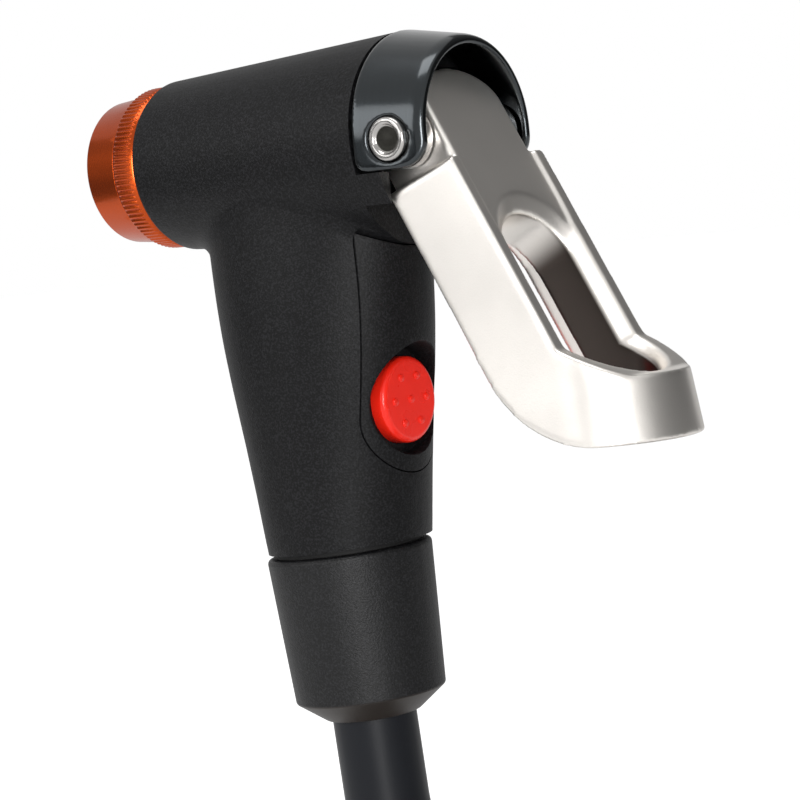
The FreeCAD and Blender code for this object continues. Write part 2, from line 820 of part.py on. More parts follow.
def lever_hood():
    outline = [
        (hood_front_x, neck_r), (hood_front_x, hood_front_r - 0.3), (hood_front_x + 0.3, hood_front_r),
        (hood_bevel_x, hood_bevel_r), (hood_rear_x - 0.3, hood_rear_r + 0.15),
        (hood_rear_x, hood_rear_r - 0.15), (hood_rear_x, hood_inner_half_width + 0.2),
        (hood_rear_x - 0.2, hood_inner_half_width), (hood_neck_x, hood_inner_half_width),
        (hood_neck_x, neck_r),
    ]
    points = [V(x, r, 0) for x, r in outline]
    face = Part.Face(Part.makePolygon(points + points[:1]))
    arch = face.revolve(V(0, 0, 0), X_AXIS, 180)
    leg = face.extrude(V(0, 0, ear_bottom_z - 1))
    mirror = leg.mirror(V(0, 0, 0), Y_AXIS)
    hood = arch.fuse(leg).fuse(mirror).common(flat_prism(ear_outline(), 20))
    bore = Part.makeCylinder(pin_r, 40, V(pivot_x, -20, pivot_z), Y_AXIS)
    hood = hood.cut(bore)
    for side in (-1, 1):
        seat_y = side * pin_seat_y()
        counterbore = Part.makeCylinder(pin_head_r + fit_gap, 6, V(pivot_x, seat_y, pivot_z), Y_AXIS * side)
        hood = hood.cut(counterbore)
    return hood.removeSplitter()


def ear_outside_y():
    share = (pivot_x - hood_front_x) / (hood_bevel_x - hood_front_x)
    return hood_front_r + share * (hood_bevel_r - hood_front_r)


def pin_seat_y():
    return ear_outside_y() - pin_head_thickness + 0.35


def pin_head(side):
    seat_y = pin_seat_y()
    head = Part.makeCylinder(pin_head_r, pin_head_thickness, V(pivot_x, side * seat_y, pivot_z), Y_AXIS * side)
    face_y = seat_y + pin_head_thickness
    head = round_edges(head, 0.35, lambda edge: abs(edge.BoundBox.Center.y) > face_y - 0.01)
    dish = Part.makeCone(pin_dish_r - 0.3, pin_dish_r, pin_dish_depth,
                         V(pivot_x, side * (face_y - pin_dish_depth), pivot_z), Y_AXIS * side)
    return head.cut(dish)


def pivot_pin():
    seat_y = pin_seat_y()
    shaft = Part.makeCylinder(pin_r, 2 * seat_y, V(pivot_x, -seat_y, pivot_z), Y_AXIS)
    pin = shaft.fuse(pin_head(-1))
    thread = Part.makeCylinder(pin_screw_r, 8, V(pivot_x, seat_y - 8, pivot_z), Y_AXIS)
    return pin.cut(thread)


def pin_screw():
    seat_y = pin_seat_y()
    shank = Part.makeCylinder(pin_screw_r, 7.7, V(pivot_x, seat_y - 7.7, pivot_z), Y_AXIS)
    return pin_head(1).fuse(shank)


def pivot_washers():
    washers = []
    for side in (-1, 1):
        start = V(pivot_x, side * (head_half_width + 0.25), pivot_z)
        disc = Part.makeCylinder(pivot_washer_r, pivot_washer_thickness, start, Y_AXIS * side)
        washers.append(disc.cut(Part.makeCylinder(pin_r + fit_gap, 30, V(pivot_x, -15, pivot_z), Y_AXIS)))
    return Part.makeCompound(washers)


def nut_start():
    return grip_end + nut_washer_thickness


def nut_washer():
    ring = leaning_cylinder(grip_end, nut_start(), nut_washer_r)
    return ring.cut(leaning_cylinder(grip_end - 1, nut_start() + 1, barb_thread_r + 0.2))


def hose_nut():
    top = nut_start()
    nut = leaning_turned([
        (top, 0), (top, nut_top_r - nut_top_round), (top + nut_top_round * 0.35, nut_top_r - nut_top_round * 0.3),
        (top + nut_top_round, nut_top_r), (nut_end, nut_end_r), (nut_cone_end, nut_cone_r), (nut_cone_end, 0),
    ])
    hex_r = barb_hex_across / math.sqrt(3)
    nut = nut.cut(leaning_cylinder(top - 1, nut_bore_start, hex_r + 0.1))
    nut = nut.cut(leaning_cylinder(nut_bore_start - 1, nut_bore_end, nut_bore_r))
    return nut.cut(leaning_cylinder(nut_bore_end - 1, nut_cone_end + 1, hose_r + nut_hose_gap))


def hose_barb():
    top = nut_start()
    hex_r = barb_hex_across / math.sqrt(3)
    corners = []
    across = V(math.cos(lean), 0, math.sin(lean))
    for i in range(6):
        turn = math.pi * i / 3
        corners.append(lean_point(top) + across * (hex_r * math.cos(turn)) + Y_AXIS * (hex_r * math.sin(turn)))
    hexagon = Part.Face(Part.makePolygon(corners + corners[:1])).extrude(lean_direction() * (barb_hex_end - top))
    thread = leaning_cylinder(barb_thread_top + 0.5, top + 0.5, barb_thread_r)
    groove = leaning_cylinder(barb_seal_at, barb_seal_at + barb_seal_width, barb_thread_r + 1)
    groove = groove.cut(leaning_cylinder(barb_seal_at - 1, barb_seal_at + 4, barb_thread_r - barb_seal_groove))
    tail = leaning_cylinder(barb_hex_end - 0.5, barb_end, barb_r)
    barb = hexagon.fuse(thread).cut(groove).fuse(tail)
    return barb.cut(leaning_cylinder(barb_thread_top - 1, barb_end + 1, barb_air_r))


def barb_seal():
    ring = leaning_cylinder(barb_seal_at, barb_seal_at + barb_seal_width, barb_thread_r)
    return ring.cut(leaning_cylinder(barb_seal_at - 1, barb_seal_at + 4, barb_thread_r - barb_seal_groove))


def hose_ferrule():
    sleeve = leaning_turned([
        (ferrule_start, hose_r), (ferrule_start, ferrule_r - 0.3), (ferrule_start + 0.3, ferrule_r),
        (ferrule_end - 0.3, ferrule_r), (ferrule_end, ferrule_r - 0.3), (ferrule_end, hose_r),
    ])
    return sleeve


# The hose leaves the nut, comes down, turns along the surface and meets the coil
def coil_start():
    return V(coil_x - 2 * hose_r, coil_y - coil_outer_r, floor_z + hose_r + coil_layer_step)


def hose_route():
    return [
        lean_point(hose_start),
        lean_point(hose_start + 37.0),
        V(49.7, 0.0, -117.4),
        V(78.6, 0.0, coil_start().z),
        coil_start(),
    ]


def rounded_path(points):
    # Straight runs joined by tangent arcs, each as large as its two runs allow
    edges = []
    radii = []
    start = points[0]
    for before, corner, after in zip(points, points[1:], points[2:]):
        way_in = corner - before
        way_out = after - corner
        shorter = min(way_in.Length, way_out.Length)
        half_turn = way_in.getAngle(way_out) / 2
        trim = 0.45 * shorter
        radii.append(trim / math.tan(half_turn))
        way_in.normalize()
        way_out.normalize()
        arc_start = corner - way_in * trim
        arc_end = corner + way_out * trim
        inward = way_out - way_in
        inward.normalize()
        apex = radii[-1] / math.cos(half_turn) - radii[-1]
        middle = corner + inward * apex
        edges.append(Part.LineSegment(start, arc_start).toShape())
        edges.append(Part.Arc(arc_start, middle, arc_end).toShape())
        start = arc_end
    edges.append(Part.LineSegment(start, points[-1]).toShape())
    return Part.Wire(edges), radii


def swept_tube(path, start, direction, outer_r, inner_r=0.0):
    def pipe(r):
        ring = Part.Wire(Part.Circle(start, direction, r).toShape())
        return path.makePipeShell([ring], True, False)
    tube = pipe(outer_r)
    return tube.cut(pipe(inner_r)) if inner_r else tube


def hose_drop():
    path, radii = rounded_path(hose_route())
    tube = swept_tube(path, lean_point(hose_start), lean_direction(), hose_r)
    section = math.pi * hose_r ** 2
    print("hose_drop arc radii", [round(r, 1) for r in radii])
    print("hose_drop volume ratio", round(tube.Volume / (section * path.Length), 4))
    print("hose_drop length", round(path.Length, 1))
    bore = leaning_cylinder(hose_start - 1, barb_end + 0.5, hose_bore_r)
    return tube.cut(bore)


def biarc(p0, t0, p1, t1):
    # Two arcs that leave p0 along t0 and reach p1 along t1
    v = p1 - p0
    t = t0 + t1
    k = 2 * (1 - t0.dot(t1))
    vt = v.dot(t)
    reach = v.dot(v) / (2 * vt) if k < 1e-9 else (math.sqrt(vt * vt + k * v.dot(v)) - vt) / k
    joint = (p0 + p1 + (t0 - t1) * reach) * 0.5
    return [arc_from_tangent(p0, t0, joint, reach), arc_to_tangent(joint, p1, t1, reach)]


def arc_from_tangent(p0, t0, p1, reach):
    return arc_by_corner(p0, p0 + t0 * reach, p1)


def arc_to_tangent(p0, p1, t1, reach):
    return arc_by_corner(p0, p1 - t1 * reach, p1)


def arc_by_corner(p0, corner, p1):
    chord_middle = (p0 + p1) * 0.5
    half_chord = (p1 - p0).Length / 2
    bulge = corner - chord_middle
    if bulge.Length < 1e-6:
        return Part.LineSegment(p0, p1).toShape()
    side = (corner - p0).Length
    half_cos = half_chord / side
    sagitta = half_chord * math.sqrt((1 - half_cos) / (1 + half_cos))
    bulge.normalize()
    return Part.Arc(p0, chord_middle + bulge * sagitta, p1).toShape()


def eased(share):
    share = min(1.0, max(0.0, share))
    return share * share * (3 - 2 * share)


def coil_place(turns):
    # The upper layer spirals in, drops a layer in the half turn where it reverses, and the
    # lower layer spirals out. Its last quarter rises to the height of the fitting's hexagon
    inward = coil_half_turns / 2
    total = 2 * inward + 0.5
    outward = max(0.0, turns - inward - 0.5)
    r = coil_outer_r - coil_turn_step * (min(turns, inward) - outward)
    drop = coil_layer_step * eased((turns - inward) / 0.5)
    rise = (end_hex_across / math.sqrt(3) - hose_r) * eased((turns - total + 0.25) / 0.25)
    z = coil_start().z - drop + rise
    turn = 2 * math.pi * turns - math.pi / 2
    return V(coil_x + r * math.cos(turn), coil_y + r * math.sin(turn), z)


def coil_direction(turns):
    step = 1e-4
    total = coil_half_turns + 0.5
    first = max(0.0, turns - step)
    last = min(total, turns + step)
    way = coil_place(last) - coil_place(first)
    way.normalize()
    return way


def coil_path():
    total = coil_half_turns + 0.5
    quarters = int(round(4 * total))
    places = [coil_place(i / 4) for i in range(quarters + 1)]
    ways = [coil_direction(i / 4) for i in range(quarters + 1)]
    ways[0] = V(1, 0, 0)
    ways[-1] = V(-1, 0, 0)
    edges = [Part.LineSegment(coil_start(), places[0]).toShape()]
    for i in range(quarters):
        edges += biarc(places[i], ways[i], places[i + 1], ways[i + 1])
    end = places[-1] + ways[-1] * (2 * hose_r)
    edges.append(Part.LineSegment(places[-1], end).toShape())
    return Part.Wire(edges), end, ways[-1]


def least_self_gap(path, r, apart):
    count = max(200, int(path.Length / 2))
    points = path.discretize(count)
    skip = int(apart / path.Length * count) + 1
    least = 1e9
    for i in range(0, count, 2):
        for j in range(i + skip, count):
            least = min(least, (points[i] - points[j]).Length)
    return least - 2 * r


def hose_coil():
    path, end, way = coil_path()
    tube = swept_tube(path, coil_start(), V(1, 0, 0), hose_r)
    section = math.pi * hose_r ** 2
    print("hose_coil length", round(path.Length, 1))
    print("hose_coil volume ratio", round(tube.Volume / (section * path.Length), 4))
    print("hose_coil least gap to itself", round(least_self_gap(path, hose_r, 6 * hose_r), 2))
    return tube


def bleed_spring():
    # A short coil round the stem, between the pocket's floor and the button
    x0 = cover_inner_x - button_pocket_depth + spring_wire_r
    quarters = 4 * spring_turns
    places = []
    ways = []
    for i in range(quarters + 1):
        turn = math.pi / 2 * i
        places.append(V(x0 + spring_pitch * i / 4, spring_r * math.cos(turn),
                        button_z + spring_r * math.sin(turn)))
        way = V(spring_pitch / (2 * math.pi), -spring_r * math.sin(turn), spring_r * math.cos(turn))
        way.normalize()
        ways.append(way)
    edges = []
    for i in range(quarters):
        edges += biarc(places[i], ways[i], places[i + 1], ways[i + 1])
    path = Part.Wire(edges)
    print("bleed_spring least gap to itself", round(least_self_gap(path, spring_wire_r, spring_r), 2))
    return swept_tube(path, places[0], ways[0], spring_wire_r)


# The end fitting screws into the pump's outlet
def along_end(start, length, r):
    path, end, way = coil_path()
    return Part.makeCylinder(r, length, end + way * start, way)


def end_ferrule():
    sleeve = along_end(0.0, end_ferrule_length, end_ferrule_r)
    return sleeve.cut(along_end(end_ferrule_wall, end_ferrule_length, end_stem_r))


def end_fitting():
    path, end, way = coil_path()
    hex_start = end + way * end_ferrule_length
    hex_r = end_hex_across / math.sqrt(3)
    corners = []
    for i in range(6):
        turn = math.pi * i / 3
        corners.append(hex_start + Y_AXIS * (hex_r * math.cos(turn)) + Z_AXIS * (hex_r * math.sin(turn)))
    hexagon = Part.Face(Part.makePolygon(corners + corners[:1])).extrude(way * end_hex_length)
    stem = along_end(end_ferrule_wall, end_ferrule_length - end_ferrule_wall + 1, end_stem_r)
    thread_start = end_ferrule_length + end_hex_length
    neck = along_end(thread_start - 1, end_neck_length + 2, end_neck_r)
    thread = along_end(thread_start + end_neck_length, end_thread_length - end_neck_length, end_thread_r)
    far_x = (end + way * (thread_start + end_thread_length)).x
    thread = round_edges(thread, end_thread_chamfer, lambda edge: edge.BoundBox.XMax < far_x + 0.01)
    bore = along_end(end_ferrule_wall - 1, end_ferrule_length + end_hex_length + end_thread_length, barb_air_r)
    return hexagon.fuse(stem).fuse(neck).fuse(thread).cut(bore)


def end_seal():
    start = end_ferrule_length + end_hex_length
    ring = along_end(start, end_ring_width, end_ring_r)
    return ring.cut(along_end(start - 1, end_ring_width + 2, end_neck_r))


builders = (
    head_body, rear_cover, valve_collar, slip_washer, valve_grommet, plunger, plunger_seals,
    core_pin, cam_follower, lever_hood, pivot_pin, pin_screw, pivot_washers, cam_lever,
    bleed_button, bleed_stem, bleed_seal, bleed_seat, bleed_spring, nut_washer, hose_nut,
    hose_barb, barb_seal, hose_ferrule, hose_drop, hose_coil, end_ferrule, end_fitting, end_seal,
)

os.makedirs("parts", exist_ok=True)
for build in builders:
    shape = build()
    name = build.__name__
    box = shape.BoundBox
    print(name, "valid", shape.isValid(), "solids", len(shape.Solids), "volume", round(shape.Volume, 1),
          "x", round(box.XMin, 1), round(box.XMax, 1), "y", round(box.YMin, 1), round(box.YMax, 1),
          "z", round(box.ZMin, 1), round(box.ZMax, 1))
    shape.exportStep("parts/" + name + ".step")
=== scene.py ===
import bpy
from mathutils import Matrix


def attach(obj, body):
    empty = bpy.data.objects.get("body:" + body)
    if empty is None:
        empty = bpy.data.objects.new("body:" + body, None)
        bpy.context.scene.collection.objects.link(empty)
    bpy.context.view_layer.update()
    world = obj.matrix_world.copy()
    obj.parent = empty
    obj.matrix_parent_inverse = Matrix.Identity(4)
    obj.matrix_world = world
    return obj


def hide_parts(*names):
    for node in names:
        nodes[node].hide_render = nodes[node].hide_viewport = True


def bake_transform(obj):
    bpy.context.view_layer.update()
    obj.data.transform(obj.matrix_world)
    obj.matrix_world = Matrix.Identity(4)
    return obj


bl_info = {
    "name": "Tire Inflator Head",
    "version": (1, 0, 0),
    "blender": (4, 5, 0),
    "location": "3D Viewport > Sidebar > Inflator",
    "description": "Dresses a tire inflator's hose head: collar, cam lever, bleed button and hose",
    "category": "Object",
}

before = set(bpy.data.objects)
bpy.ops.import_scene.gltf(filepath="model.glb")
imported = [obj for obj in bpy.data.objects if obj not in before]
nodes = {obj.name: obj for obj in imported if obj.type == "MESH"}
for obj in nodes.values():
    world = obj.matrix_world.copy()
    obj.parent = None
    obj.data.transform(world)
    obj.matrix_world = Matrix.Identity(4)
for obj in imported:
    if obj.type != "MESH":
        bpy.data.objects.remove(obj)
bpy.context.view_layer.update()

import math

import bmesh
import bpy
from bpy.props import FloatProperty, FloatVectorProperty, IntProperty, PointerProperty
from mathutils import Matrix, Vector

# Places on the solids, in metres. A pair says where a pattern begins and where it is full.
pivot_x, pivot_z = 0.048, -0.0003
# Where the painted shade in the pin's sunk middle gives way to its bright rim
pin_rim = (0.00135, 0.00150)
lever_lean = math.radians(27.4)
# Where shade is painted on the walls of the lever's slot and in its foot
slot_end_x = 0.0653
slot_wall = (0.00608, 0.0062)
slot_top = (0.0135, 0.0175)
slot_height = (0.0026, 0.0030)
foot_front = (0.0612, 0.0622)
foot_slope = 0.4886
foot_height = (0.0060, 0.0063)
flank_half_width = 0.0086
flare_start, flare_reach, flare_slope = -0.024285, 0.005, 0.069
mould_line_edge = (0.00004, 0.00012)
mould_line_front = (0.0335, 0.0345)
mould_line_top = (-0.0394, -0.0388)
mould_line_depth = 0.00012
nut_cone = (0.06395, 0.0643)

# The hose's own axis leans back a little and meets the port's axis at this x
hose_x = 0.025
hose_lean = math.radians(3.4)
hose_start, hose_straight, hose_bend = 0.0492, 0.019, 0.037
hose_lowest_bend = (0.0497, 0.0, -0.1174)
hose_landing_x = 0.0786
coil_centre_x = 0.1216
coil_reversal, coil_rise = 0.5, 0.25
fitting_flats = 0.013

# How a node's mesh is welded, and where its shading breaks
weld_distance = 1e-6
flat_angle = math.radians(0.6)
crease_angle = math.radians(38.0)
no_crease = math.radians(180.0)

# The studio round the head: name, direction, distance, width and height, and power or grey
head_middle = Vector((0.04, 0.0, -0.02))
softboxes = (
    ("softbox_left", (-0.61, -0.79, 0.36), 1.0, (1.1, 0.5), 4.0),
    ("softbox_front", (0.62, -0.78, 0.08), 1.1, (0.30, 0.50), 6.5),
    ("softbox_top", (0.05, -0.15, 1.0), 0.9, (0.6, 0.4), 2.4),
)
flags = (
    ("dark_flag_right", (0.80, 0.60, 0.05), 1.2, (2.4, 0.9), 0.07),
    ("grey_flag_back", (0.35, 0.75, 0.60), 1.4, (2.4, 1.1), 0.13),
    ("dark_flag_left", (-0.61, -0.79, 0.0), 1.1, (1.6, 0.26), 0.15),
    ("dark_flag_collar", (-0.907, -0.42, 0.16), 0.174, (0.15, 0.16), 0.17),
)
floor_width = 12.0
floor_glow, floor_mirrored = 0.62, 0.2
room_light, room_mirrored = 0.45, 0.3

# The camera: its angles, and its place back, right and down from the port
camera_azimuth = math.radians(37.565)
camera_elevation = math.radians(4.277)
camera_roll = math.radians(5.876)
camera_back, camera_right, camera_down = 0.30156, 0.032774, 0.028076


def colour_property(name, description, default):
    return FloatVectorProperty(name=name, description=description, subtype="COLOR",
                               default=default, min=0.0, max=1.0)


def length_property(name, description, default):
    return FloatProperty(name=name, description=description, default=default,
                         min=0.0, unit="LENGTH", subtype="DISTANCE", precision=5)


def roughness_property(name, description, default):
    return FloatProperty(name=name, description=description, subtype="FACTOR",
                         default=default, min=0.0, max=1.0)


def passes_property(name, description, default):
    return IntProperty(name=name, description=description, default=default, min=0, max=40)


class InflatorPlastics(bpy.types.PropertyGroup):
    """Colours and grain of the moulded parts"""
    body_colour: colour_property(
        "Body", "Black of the head and the hose nut", (0.0026, 0.0026, 0.0029))
    body_roughness: roughness_property(
        "Body roughness", "Roughness of the grained plastic", 0.46)
    grain_size: length_property("Grain size", "Width of one bump of the body's grain", 0.00024)
    grain_depth: length_property("Grain depth", "Height of the body's grain", 0.000045)
    grain_contrast: FloatProperty(
        name="Grain contrast", description="How much paler the grain's bumps are",
        default=5.0, min=1.0, max=20.0)
    cone_colour: colour_property(
        "Nut cone", "Smooth cone at the nut's lower end", (0.022, 0.017, 0.014))
    button_colour: colour_property("Button", "Red of the bleed button", (0.95, 0.020, 0.008))
    hose_colour: colour_property("Hose", "Blue black of the hose", (0.007, 0.008, 0.011))
    seal_colour: colour_property("Seals", "Black of the rubber seals", (0.012, 0.012, 0.012))


class InflatorMetals(bpy.types.PropertyGroup):
    """Colours of the metal parts, with the shade painted on the lever's slot walls and in the
    pin's recess
    """
    collar_colour: colour_property(
        "Collar", "Orange anodising of the valve collar", (0.56, 0.075, 0.008))
    hood_colour: colour_property(
        "Hood", "Black anodising of the pivot hood", (0.030, 0.036, 0.040))
    lever_colour: colour_property("Lever", "Satin nickel of the cam lever", (0.95, 0.91, 0.86))
    lever_roughness: roughness_property(
        "Lever roughness", "Roughness of the satin nickel", 0.36)
    # Painted shade: this colour stands in for the shade and dark reflections inside the lever's
    # slot
    slot_shade_colour: colour_property(
        "Slot walls", "Dull metal inside the lever's slot", (0.075, 0.062, 0.055))
    pin_colour: colour_property(
        "Pivot pin", "Polished steel of the pivot pin", (0.50, 0.485, 0.47))
    # Painted shade: this colour stands in for the shade in the pin's sunk middle
    recess_shade_colour: colour_property(
        "Pin recess", "Dull metal in the pin's sunk middle", (0.07, 0.068, 0.06))
    brass_colour: colour_property("Brass", "Turned brass fittings", (0.74, 0.52, 0.22))
    steel_colour: colour_property("Steel", "Plain steel inner parts", (0.55, 0.54, 0.53))


class InflatorEdges(bpy.types.PropertyGroup):
    """How far the edges of the parts are rounded"""
    lever_grid: length_property("Lever grid", "Size of the lever's mesh faces", 0.00022)
    lever_passes: passes_property("Lever rounding", "Passes that round the lever's edges", 7)
    hood_grid: length_property("Hood grid", "Size of the hood's mesh faces", 0.00015)
    hood_passes: passes_property("Hood rounding", "Passes that round the hood's edges", 14)
    body: length_property("Body edges", "Rounding of the head's seams", 0.00022)
    collar: length_property("Collar edges", "Rounding of the collar's edges", 0.00010)
    nut: length_property("Nut edges", "Rounding of the hose nut's edges", 0.00025)
    pin: length_property("Pin edges", "Rounding of the pin's head and its screw", 0.00012)
    button: length_property("Button edges", "Rounding of the button's raised dots", 0.00010)


class InflatorHose(bpy.types.PropertyGroup):
    """Sizes of the hose and of its stored coil"""
    radius: length_property("Radius", "Outside radius of the hose", 0.005)
    coil_radius: length_property("Coil radius", "Radius of the coil's outer turn", 0.060)
    turn_step: length_property(
        "Turn step", "How far each turn lies inside the one before", 0.0125)
    layer_step: length_property(
        "Layer step", "Height from one layer of the coil to the next", 0.0116)
    turns: FloatProperty(
        name="Turns in each layer", description="Turns that each layer of the coil makes",
        default=1.5, min=0.5, max=6.0)
    points_per_turn: IntProperty(
        name="Points per turn", description="Control points in one turn of the coil",
        default=24, min=12, max=48)


class InflatorStage(bpy.types.PropertyGroup):
    """Floor and lens"""
    floor_height: length_property(
        "Floor below the port", "How far the floor lies below the valve port", 0.150)
    floor_colour: colour_property("Floor", "Pale colour of the floor", (0.86, 0.86, 0.86))
    focal_length: FloatProperty(
        name="Focal length", description="Lens of the camera in millimetres",
        default=110.0, min=20.0, max=300.0, unit="CAMERA")


class InflatorLooks(bpy.types.PropertyGroup):
    """All the sizes and colours of the inflator's head"""
    plastics: PointerProperty(type=InflatorPlastics)
    metals: PointerProperty(type=InflatorMetals)
    edges: PointerProperty(type=InflatorEdges)
    hose: PointerProperty(type=InflatorHose)
    stage: PointerProperty(type=InflatorStage)


def looks():
    return bpy.context.scene.inflator


# Materials

class Field:
    """A socket of a recipe's nodes that ordinary arithmetic works on."""

    def __init__(self, recipe, socket):
        self.recipe = recipe
        self.socket = socket

    def __add__(self, other):
        return self.recipe.math("ADD", self, other)

    def __radd__(self, number):
        return self.recipe.math("ADD", number, self)

    def __sub__(self, other):
        return self.recipe.math("SUBTRACT", self, other)

    def __rsub__(self, number):
        return self.recipe.math("SUBTRACT", number, self)

    def __mul__(self, other):
        return self.recipe.math("MULTIPLY", self, other)

    def __rmul__(self, number):
        return self.recipe.math("MULTIPLY", number, self)

    def absolute(self):
        return self.recipe.math("ABSOLUTE", self)

    def root(self):
        return self.recipe.math("SQRT", self)

    def larger(self, other):
        return self.recipe.math("MAXIMUM", self, other)

    def step(self, low, high):
        """0 up to low, 1 from high on, and smooth between."""
        made = self.recipe.node("ShaderNodeMapRange", {
            "Value": self, "From Min": low, "From Max": high,
        }, interpolation_type="SMOOTHSTEP")
        return Field(self.recipe, made.outputs["Result"])


class Recipe:
    """The nodes of one material or of the world."""

    def __init__(self, tree):
        self.tree = tree
        self.tree.nodes.clear()

    def node(self, kind, inputs, **settings):
        made = self.tree.nodes.new(kind)
        for name, value in settings.items():
            setattr(made, name, value)
        for name, value in inputs.items():
            self.put(made.inputs[name], value)
        return made

    def put(self, socket, value):
        if isinstance(value, Field):
            self.tree.links.new(value.socket, socket)
        elif socket.type == "RGBA":
            socket.default_value = (*value, 1.0)
        else:
            socket.default_value = value

    def math(self, operation, *values):
        made = self.node("ShaderNodeMath", dict(enumerate(values)), operation=operation)
        return Field(self, made.outputs[0])

    def seen(self, mirrored):
        """1 for the camera and through glass, the given share in reflections, and 0 elsewhere."""
        path = self.node("ShaderNodeLightPath", {})
        camera, glass, gloss = (Field(self, path.outputs[name]) for name in (
            "Is Camera Ray", "Is Transmission Ray", "Is Glossy Ray"))
        return camera.larger(glass).larger(gloss * mirrored)


class Paint(Recipe):
    """One material: Object coordinates in, a Principled shader out."""

    def __init__(self, name, metallic=0.0, coat=0.0, coat_roughness=0.12, specular=0.5):
        self.material = bpy.data.materials.new(name)
        self.material.use_nodes = True
        super().__init__(self.material.node_tree)
        self.shader = self.node("ShaderNodeBsdfPrincipled", {
            "Metallic": metallic, "Coat Weight": coat, "Coat Roughness": coat_roughness,
            "Specular IOR Level": specular,
        })
        self.node("ShaderNodeOutputMaterial", {
            "Surface": Field(self, self.shader.outputs["BSDF"]),
        })
        self.place = Field(self, self.node("ShaderNodeTexCoord", {}).outputs["Object"])

    def axes(self):
        made = self.node("ShaderNodeSeparateXYZ", {"Vector": self.place})
        return [Field(self, made.outputs[axis]) for axis in "XYZ"]

    def vector(self, x, y, z):
        made = self.node("ShaderNodeCombineXYZ", {"X": x, "Y": y, "Z": z})
        return Field(self, made.outputs["Vector"])

    def noise(self, size, detail=3.0, roughness=0.5, place=None):
        made = self.node("ShaderNodeTexNoise", {
            "Vector": place or self.place, "Scale": 1.0 / size, "Detail": detail,
            "Roughness": roughness,
        })
        return Field(self, made.outputs[0])

    def cells(self, size):
        made = self.node("ShaderNodeTexVoronoi", {
            "Vector": self.place, "Scale": 1.0 / size, "Smoothness": 0.6,
        }, feature="SMOOTH_F1")
        return Field(self, made.outputs["Distance"])

    def mix(self, share, first, second):
        """The first colour at a share of 0, and the second at 1."""
        made = self.node("ShaderNodeMix", {0: share, 6: first, 7: second}, data_type="RGBA")
        return Field(self, made.outputs[2])

    def clouded(self, colour, size, dark, light, detail=3.0):
        """A soft cloud, and a colour that it varies between a darker and a lighter shade."""
        cloud = self.noise(size, detail)
        return cloud, self.mix(cloud, shade(colour, dark), shade(colour, light))

    def bump(self, height, distance, under=None):
        inputs = {"Height": height, "Distance": distance, "Strength": 1.0}
        if under is not None:
            inputs["Normal"] = under
        return Field(self, self.node("ShaderNodeBump", inputs).outputs["Normal"])

    def glow(self, strength):
        self.put(self.shader.inputs["Emission Color"], (1.0, 1.0, 1.0))
        self.put(self.shader.inputs["Emission Strength"], strength)

    def finish(self, colour, roughness, normal=None):
        self.put(self.shader.inputs["Base Color"], colour)
        self.put(self.shader.inputs["Roughness"], roughness)
        if normal is not None:
            self.put(self.shader.inputs["Normal"], normal)
        return self.material


def shade(colour, factor):
    return tuple(min(1.0, part * factor) for part in colour)


def grained_tone(paint, cloud_size, dark, light):
    """The black plastic's cloud, and its colour with the pale tips of its grain."""
    plastics = looks().plastics
    cloud, tone = paint.clouded(plastics.body_colour, cloud_size, dark, light)
    tips = paint.noise(plastics.grain_size, detail=2.0).step(0.42, 0.68)
    pale = shade(plastics.body_colour, plastics.grain_contrast)
    return cloud, paint.mix(tips, tone, pale)


def grained_roughness(cloud):
    return looks().plastics.body_roughness - 0.05 + cloud * 0.1


def grained_normal(paint, amount):
    plastics = looks().plastics
    pebbles = paint.cells(plastics.grain_size)
    grit = paint.noise(plastics.grain_size * 0.7, detail=2.0)
    return paint.bump((pebbles * 0.35 + grit * 0.9) * amount, plastics.grain_depth)


def grained_plastic():
    paint = Paint("grained_black_plastic", specular=0.18)
    cloud, tone = grained_tone(paint, 0.012, 0.9, 1.15)
    # A fine mould line runs down the middle of the back, under the bleed button
    x, y, z = paint.axes()
    near_middle = 1.0 - y.absolute().step(*mould_line_edge)
    behind = x.step(*mould_line_front)
    below = 1.0 - z.step(*mould_line_top)
    groove = 0.0 - near_middle * behind * below
    normal = paint.bump(groove, mould_line_depth, under=grained_normal(paint, 1.0))
    return paint.finish(tone, grained_roughness(cloud), normal)


def nut_plastic():
    paint = Paint("nut_black_plastic", specular=0.32)
    x, y, z = paint.axes()
    down = (x - hose_x) * math.sin(hose_lean) - z * math.cos(hose_lean)
    cone = down.step(*nut_cone)
    cloud, tone = grained_tone(paint, 0.010, 0.95, 1.2)
    tone = paint.mix(cone, tone, looks().plastics.cone_colour)
    roughness = grained_roughness(cloud) * (1.0 - cone) + cone * 0.42
    return paint.finish(tone, roughness, grained_normal(paint, 1.0 - cone * 0.94))


def anodised_orange():
    colour = looks().metals.collar_colour
    paint = Paint("orange_anodised", metallic=1.0, coat=0.25)
    x, y, z = paint.axes()
    turned = paint.noise(0.00007, detail=2.0, place=paint.vector(x, 0.0, 0.0))
    cloud, tone = paint.clouded(colour, 0.004, 0.92, 1.06, detail=2.0)
    tone = paint.mix(turned * 0.35, tone, shade(colour, 0.72))
    return paint.finish(tone, 0.2 + turned * 0.12, paint.bump(turned, 0.0000012))


def anodised_black():
    colour = looks().metals.hood_colour
    paint = Paint("black_anodised", metallic=1.0, coat=0.8)
    x, y, z = paint.axes()
    lines = paint.vector(x, y * 0.02, z * 0.02)
    brushed = paint.noise(0.00009, roughness=0.6, place=lines)
    cloud = paint.noise(0.006, detail=2.0)
    tone = paint.mix(brushed, shade(colour, 0.7), shade(colour, 1.3))
    roughness = 0.14 + brushed * 0.08 + cloud * 0.04
    return paint.finish(tone, roughness, paint.bump(brushed, 0.000003))


